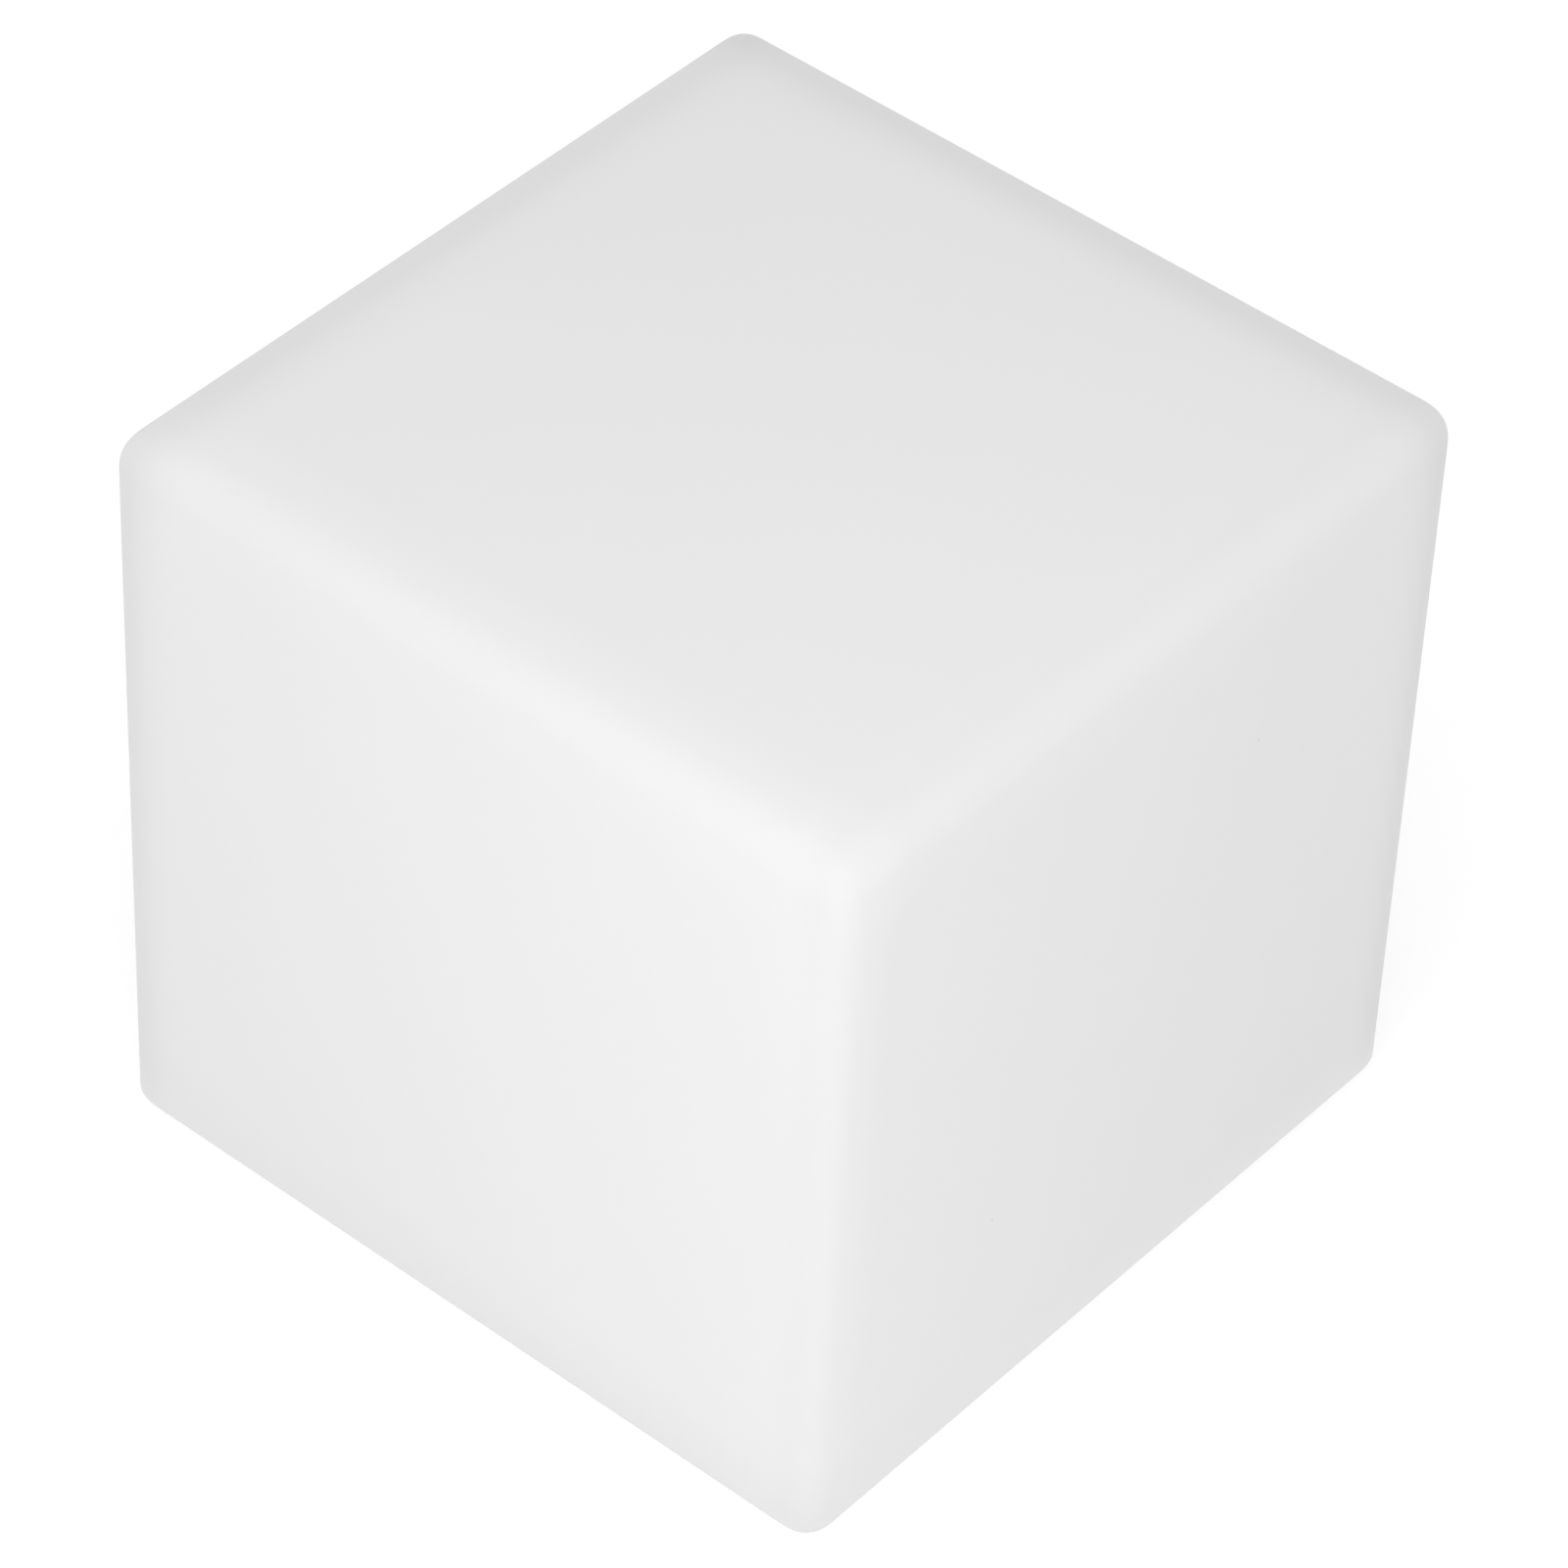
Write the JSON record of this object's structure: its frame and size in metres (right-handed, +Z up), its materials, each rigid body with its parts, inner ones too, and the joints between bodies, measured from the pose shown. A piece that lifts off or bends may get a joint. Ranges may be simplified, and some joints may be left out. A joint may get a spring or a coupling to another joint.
{
  "type": "led cube light",
  "caption": "Free-standing rounded white cube lantern with a one-piece hollow plastic body and a round rechargeable light module that twists out of its recessed underside.",
  "frame": {"origin": "on the ground, under the centre of the cube", "axes": "+Z up; the cube's sides face +X, -X, +Y and -Y; -Y is the wider side in the picture; the power button lies towards +Y and the charging port towards -Y on the underside"},
  "size_m": [0.2, 0.2, 0.193],
  "materials": {
    "cube_white": "fine satin moulded polyethylene, slightly translucent",
    "pad_silicone": "matt translucent silicone",
    "white_abs": "satin moulded",
    "white_abs_base": "fine spark texture",
    "zinc_screw": "zinc plated",
    "steel_screw": "nickel plated",
    "grey_silicone": "matt silicone",
    "frosted_dome": "frosted translucent",
    "board_white": "white solder mask on aluminium",
    "led_package": "moulded package with clear gel",
    "led_phosphor": "phosphor gel",
    "black_epoxy": "moulded epoxy",
    "board_green": "green solder mask",
    "ferrite": "ferrite",
    "can_aluminium": "bright can",
    "socket_steel": "drawn steel sleeve",
    "black_plastic": "moulded",
    "plunger_plastic": "moulded",
    "clear_pipe": "clear moulded light pipe",
    "cell_wrap": "shrink wrap over a steel can",
    "nickel": "nickel strip",
    "inner_plastic": "satin moulded",
    "socket_ivory": "moulded",
    "lead_red": "silicone insulation",
    "lead_black": "silicone insulation",
    "lead_grey": "PVC insulation",
    "button_silicone": "matt silicone",
    "flap_silicone": "matt silicone"
  },
  "bodies": {
    "cube_body": {"cube_shell": "cube_white", "foot_pads": "pad_silicone", "mounting_collar": "white_abs", "collar_screws": "zinc_screw"},
    "seal_ring": {"face_gasket": "grey_silicone"},
    "light_module": {"module_base": "white_abs_base", "light_dome": "frosted_dome", "dome_seal": "grey_silicone", "dome_screws": "steel_screw", "led_board": "board_white", "led_board_screws": "steel_screw", "rgb_leds": "led_package", "white_leds": "led_phosphor", "ir_receiver": "black_epoxy", "control_board": "board_green", "control_board_screws": "steel_screw", "controller_chip": "black_epoxy", "driver_chips": "black_epoxy", "inductor": "ferrite", "capacitors": "can_aluminium", "charging_socket": "socket_steel", "tact_switch": "black_plastic", "charge_indicator": "led_package", "light_pipe": "clear_pipe", "battery_cell": "cell_wrap", "battery_tabs": "nickel", "battery_cradle": "inner_plastic", "battery_strap": "inner_plastic", "battery_strap_screws": "steel_screw", "battery_connector": "socket_ivory", "battery_lead_red": "lead_red", "battery_lead_black": "lead_black", "link_sockets": "socket_ivory", "board_link_leads": "lead_grey", "button_seal": "grey_silicone", "flap_anchor": "flap_silicone"},
    "button": {"power_button": "button_silicone", "switch_plunger": "plunger_plastic"},
    "port_cover": {"charge_flap": "flap_silicone"}
  },
  "joints": [
    {"name": "module_travel", "type": "slide", "parent": "cube_body", "child": "seal_ring", "axis": [0, 0, -1], "range_m": [0, 0.00234]},
    {"name": "module_turn", "type": "hinge", "parent": "seal_ring", "child": "light_module", "pos_m": [0, 0, 0.008], "axis": [0, 0, -1], "range_deg": [0, 70]},
    {"name": "power_button_press", "type": "slide", "parent": "light_module", "child": "button", "axis": [0, 0, 1], "range_m": [0, 0.0006], "stiffness_N_per_m": 1500},
    {"name": "port_cover_fold", "type": "hinge", "parent": "light_module", "child": "port_cover", "pos_m": [0, -0.014, 0.004], "axis": [1, 0, 0], "range_deg": [0, 100]}
  ],
  "couplings": [
    {"joint": "module_travel", "follows": "module_turn", "m_per_rad": 0.0019099}
  ]
}
